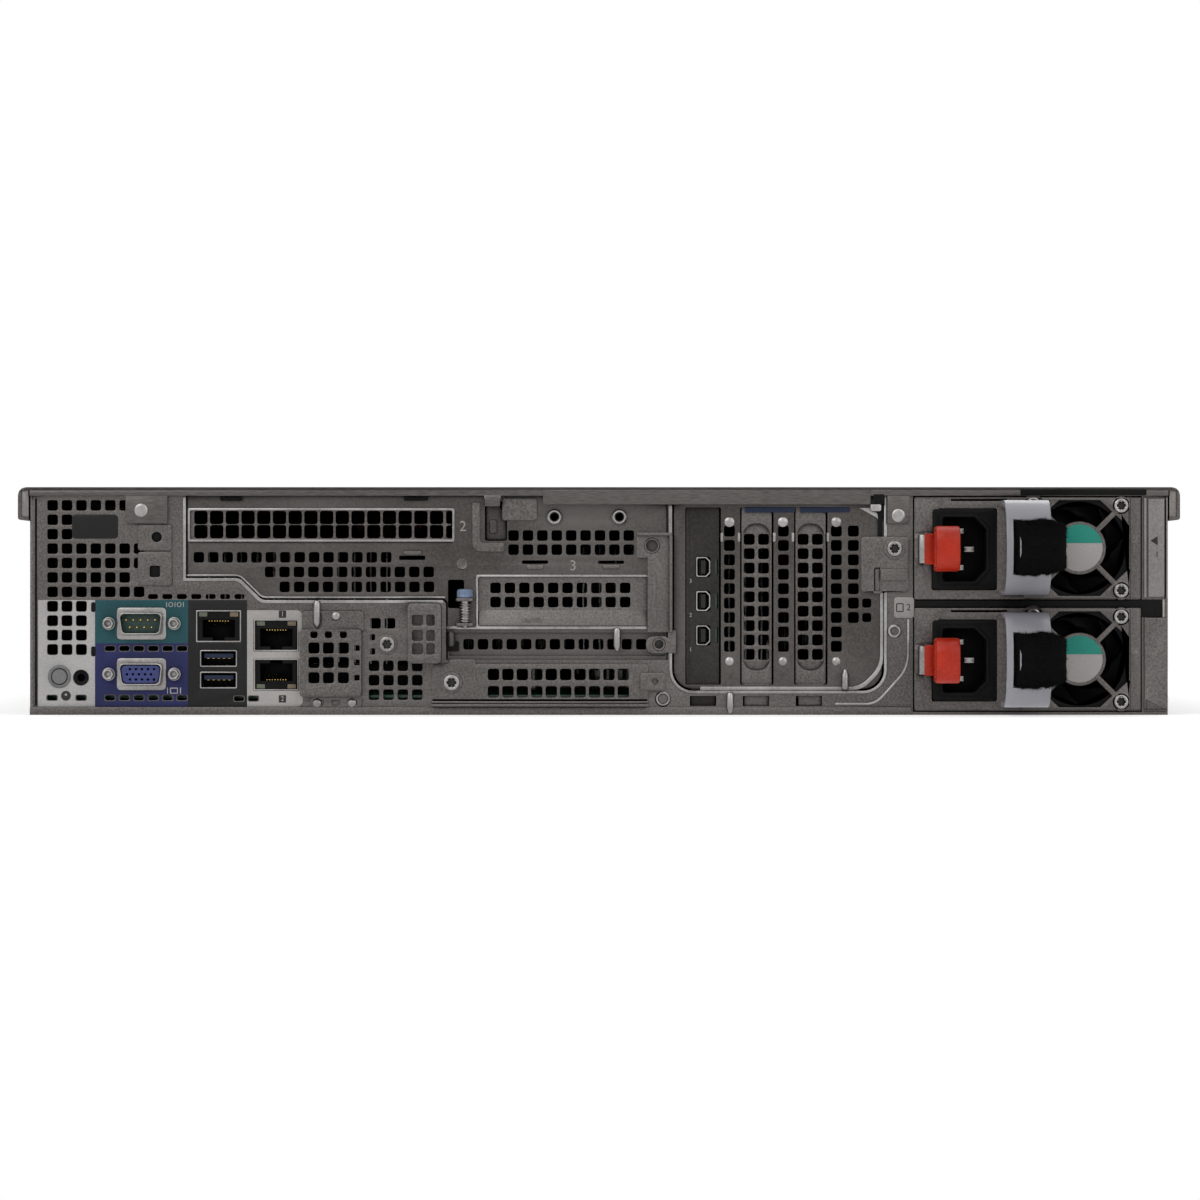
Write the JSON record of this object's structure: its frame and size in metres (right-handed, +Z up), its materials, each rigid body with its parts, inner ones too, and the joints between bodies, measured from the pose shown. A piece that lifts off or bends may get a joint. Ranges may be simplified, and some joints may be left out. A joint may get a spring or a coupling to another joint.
{
  "type": "ip video recorder",
  "caption": "Two-unit rack video recorder with hot-plug power supplies, front drive bays, expansion slots and a rear connector panel.",
  "frame": {"origin": "centre of the whole machine's footprint, on the plane it rests on", "axes": "+Y from the connector face towards the drive bays, +Z up, +X to the right when looking at the connector face"},
  "size_m": [0.482, 0.7372, 0.0868],
  "materials": {
    "plated_steel": "zinc-plated sheet, satin",
    "black_steel": "matt black",
    "bright_steel": "nickel plated",
    "black_plastic": "moulded, matt",
    "grey_plastic": "moulded, satin",
    "blue_plastic": "moulded",
    "orange_plastic": "moulded",
    "clear_plastic": "milky, half clear",
    "black_strap": "hook-and-loop pile",
    "circuit_board": "solder resist",
    "aluminium_fins": "mill",
    "carrier_metal": "painted carrier round a drive"
  },
  "bodies": {
    "chassis": {"chassis_tray": "plated_steel", "rear_wall": "plated_steel", "riser_1_panel": "plated_steel", "slot_1_filler": "plated_steel", "slot_2_filler": "plated_steel", "slot_3_filler": "plated_steel", "riser_2_panel": "plated_steel", "upright_slot_fillers": "plated_steel", "video_card": "black_steel", "card_retainer": "plated_steel", "vent_shield": "plated_steel", "riser_latch_box": "plated_steel", "serial_vga_stack": "bright_steel", "network_usb_stack": "black_plastic", "dual_network_stack": "black_plastic", "main_board": "circuit_board", "processor_coolers": "aluminium_fins", "memory_modules": "circuit_board", "fan_cage": "plated_steel", "fan_frames": "black_plastic", "drive_cage": "plated_steel", "backplane": "circuit_board", "rack_ears": "plated_steel"},
    "cover": {"cover": "plated_steel"},
    "cover_latch": {"cover_latch": "grey_plastic"},
    "id_button": {"id_button": "grey_plastic"},
    "power_button": {"power_button": "grey_plastic"},
    "riser_plunger": {"riser_plunger": "blue_plastic"},
    "fan_1": {"fan_rotor_1": "black_plastic"},
    "fan_2": {"fan_rotor_2": "black_plastic"},
    "fan_3": {"fan_rotor_3": "black_plastic"},
    "fan_4": {"fan_rotor_4": "black_plastic"},
    "psu_1": {"psu_1_case": "plated_steel", "psu_1_inlet": "black_plastic", "psu_1_handle": "clear_plastic", "psu_1_strap": "black_strap"},
    "psu_1_latch": {"psu_1_latch": "orange_plastic"},
    "psu_1_fan": {"psu_1_fan_rotor": "black_plastic"},
    "psu_2": {"psu_2_case": "plated_steel", "psu_2_inlet": "black_plastic", "psu_2_handle": "clear_plastic", "psu_2_strap": "black_strap"},
    "psu_2_latch": {"psu_2_latch": "orange_plastic"},
    "psu_2_fan": {"psu_2_fan_rotor": "black_plastic"},
    "drive_1": {"drive_carrier_1": "carrier_metal"},
    "drive_1_handle": {"carrier_handle_1": "grey_plastic"},
    "drive_2": {"drive_carrier_2": "carrier_metal"},
    "drive_2_handle": {"carrier_handle_2": "grey_plastic"},
    "drive_3": {"drive_carrier_3": "carrier_metal"},
    "drive_3_handle": {"carrier_handle_3": "grey_plastic"},
    "drive_4": {"drive_carrier_4": "carrier_metal"},
    "drive_4_handle": {"carrier_handle_4": "grey_plastic"},
    "drive_5": {"drive_carrier_5": "carrier_metal"},
    "drive_5_handle": {"carrier_handle_5": "grey_plastic"},
    "drive_6": {"drive_carrier_6": "carrier_metal"},
    "drive_6_handle": {"carrier_handle_6": "grey_plastic"},
    "drive_7": {"drive_carrier_7": "carrier_metal"},
    "drive_7_handle": {"carrier_handle_7": "grey_plastic"},
    "drive_8": {"drive_carrier_8": "carrier_metal"},
    "drive_8_handle": {"carrier_handle_8": "grey_plastic"}
  },
  "joints": [
    {"name": "cover_slide", "type": "slide", "parent": "chassis", "child": "cover", "axis": [0, -1, 0], "range_m": [0, 0.014]},
    {"name": "cover_latch_lift", "type": "hinge", "parent": "cover", "child": "cover_latch", "pos_m": [0, 0.12915, 0.084], "axis": [1, 0, 0], "range_deg": [0, 70]},
    {"name": "id_button_press", "type": "slide", "parent": "chassis", "child": "id_button", "axis": [0, 1, 0], "range_m": [0, 0.001], "stiffness_N_per_m": 300, "springref_m": -0.0005},
    {"name": "power_button_press", "type": "slide", "parent": "chassis", "child": "power_button", "axis": [0, -1, 0], "range_m": [0, 0.0009], "stiffness_N_per_m": 300, "springref_m": -0.0005},
    {"name": "riser_plunger_lift", "type": "slide", "parent": "chassis", "child": "riser_plunger", "axis": [0, 0, 1], "range_m": [0, 0.004], "stiffness_N_per_m": 300, "springref_m": -0.002},
    {"name": "fan_1_spin", "type": "hinge", "parent": "chassis", "child": "fan_1", "pos_m": [-0.144, 0.08675, 0.0424], "axis": [0, 1, 0], "continuous": true},
    {"name": "fan_2_spin", "type": "hinge", "parent": "chassis", "child": "fan_2", "pos_m": [-0.048, 0.08675, 0.0424], "axis": [0, 1, 0], "continuous": true},
    {"name": "fan_3_spin", "type": "hinge", "parent": "chassis", "child": "fan_3", "pos_m": [0.048, 0.08675, 0.0424], "axis": [0, 1, 0], "continuous": true},
    {"name": "fan_4_spin", "type": "hinge", "parent": "chassis", "child": "fan_4", "pos_m": [0.144, 0.08675, 0.0424], "axis": [0, 1, 0], "continuous": true},
    {"name": "psu_1_slide", "type": "slide", "parent": "chassis", "child": "psu_1", "axis": [0, -1, 0], "range_m": [0, 0.2]},
    {"name": "psu_1_latch_press", "type": "hinge", "parent": "psu_1", "child": "psu_1_latch", "pos_m": [0.1221, -0.32905, 0.0208], "axis": [0, 0, 1], "range_deg": [0, 6], "stiffness_Nm_per_rad": 0.5},
    {"name": "psu_1_fan_spin", "type": "hinge", "parent": "psu_1", "child": "psu_1_fan", "pos_m": [0.1831, -0.32305, 0.0212], "axis": [0, 1, 0], "continuous": true},
    {"name": "psu_2_slide", "type": "slide", "parent": "chassis", "child": "psu_2", "axis": [0, -1, 0], "range_m": [0, 0.2]},
    {"name": "psu_2_latch_press", "type": "hinge", "parent": "psu_2", "child": "psu_2_latch", "pos_m": [0.1221, -0.32905, 0.0632], "axis": [0, 0, 1], "range_deg": [0, 6], "stiffness_Nm_per_rad": 0.5},
    {"name": "psu_2_fan_spin", "type": "hinge", "parent": "psu_2", "child": "psu_2_fan", "pos_m": [0.1831, -0.32305, 0.0636], "axis": [0, 1, 0], "continuous": true},
    {"name": "drive_1_slide", "type": "slide", "parent": "chassis", "child": "drive_1", "axis": [0, 1, 0], "range_m": [0, 0.17]},
    {"name": "drive_1_handle_swing", "type": "hinge", "parent": "drive_1", "child": "drive_1_handle", "pos_m": [-0.2103, 0.36555, 0.0172], "axis": [0, 0, 1], "range_deg": [0, 50]},
    {"name": "drive_2_slide", "type": "slide", "parent": "chassis", "child": "drive_2", "axis": [0, 1, 0], "range_m": [0, 0.17]},
    {"name": "drive_2_handle_swing", "type": "hinge", "parent": "drive_2", "child": "drive_2_handle", "pos_m": [-0.1027, 0.36555, 0.0172], "axis": [0, 0, 1], "range_deg": [0, 50]},
    {"name": "drive_3_slide", "type": "slide", "parent": "chassis", "child": "drive_3", "axis": [0, 1, 0], "range_m": [0, 0.17]},
    {"name": "drive_3_handle_swing", "type": "hinge", "parent": "drive_3", "child": "drive_3_handle", "pos_m": [0.0049, 0.36555, 0.0172], "axis": [0, 0, 1], "range_deg": [0, 50]},
    {"name": "drive_4_slide", "type": "slide", "parent": "chassis", "child": "drive_4", "axis": [0, 1, 0], "range_m": [0, 0.17]},
    {"name": "drive_4_handle_swing", "type": "hinge", "parent": "drive_4", "child": "drive_4_handle", "pos_m": [0.1125, 0.36555, 0.0172], "axis": [0, 0, 1], "range_deg": [0, 50]},
    {"name": "drive_5_slide", "type": "slide", "parent": "chassis", "child": "drive_5", "axis": [0, 1, 0], "range_m": [0, 0.17]},
    {"name": "drive_5_handle_swing", "type": "hinge", "parent": "drive_5", "child": "drive_5_handle", "pos_m": [-0.2103, 0.36555, 0.048], "axis": [0, 0, 1], "range_deg": [0, 50]},
    {"name": "drive_6_slide", "type": "slide", "parent": "chassis", "child": "drive_6", "axis": [0, 1, 0], "range_m": [0, 0.17]},
    {"name": "drive_6_handle_swing", "type": "hinge", "parent": "drive_6", "child": "drive_6_handle", "pos_m": [-0.1027, 0.36555, 0.048], "axis": [0, 0, 1], "range_deg": [0, 50]},
    {"name": "drive_7_slide", "type": "slide", "parent": "chassis", "child": "drive_7", "axis": [0, 1, 0], "range_m": [0, 0.17]},
    {"name": "drive_7_handle_swing", "type": "hinge", "parent": "drive_7", "child": "drive_7_handle", "pos_m": [0.0049, 0.36555, 0.048], "axis": [0, 0, 1], "range_deg": [0, 50]},
    {"name": "drive_8_slide", "type": "slide", "parent": "chassis", "child": "drive_8", "axis": [0, 1, 0], "range_m": [0, 0.17]},
    {"name": "drive_8_handle_swing", "type": "hinge", "parent": "drive_8", "child": "drive_8_handle", "pos_m": [0.1125, 0.36555, 0.048], "axis": [0, 0, 1], "range_deg": [0, 50]}
  ],
  "couplings": [
    {"joint": "cover_latch_lift", "follows": "cover_slide", "rad_per_m": 87.2}
  ]
}
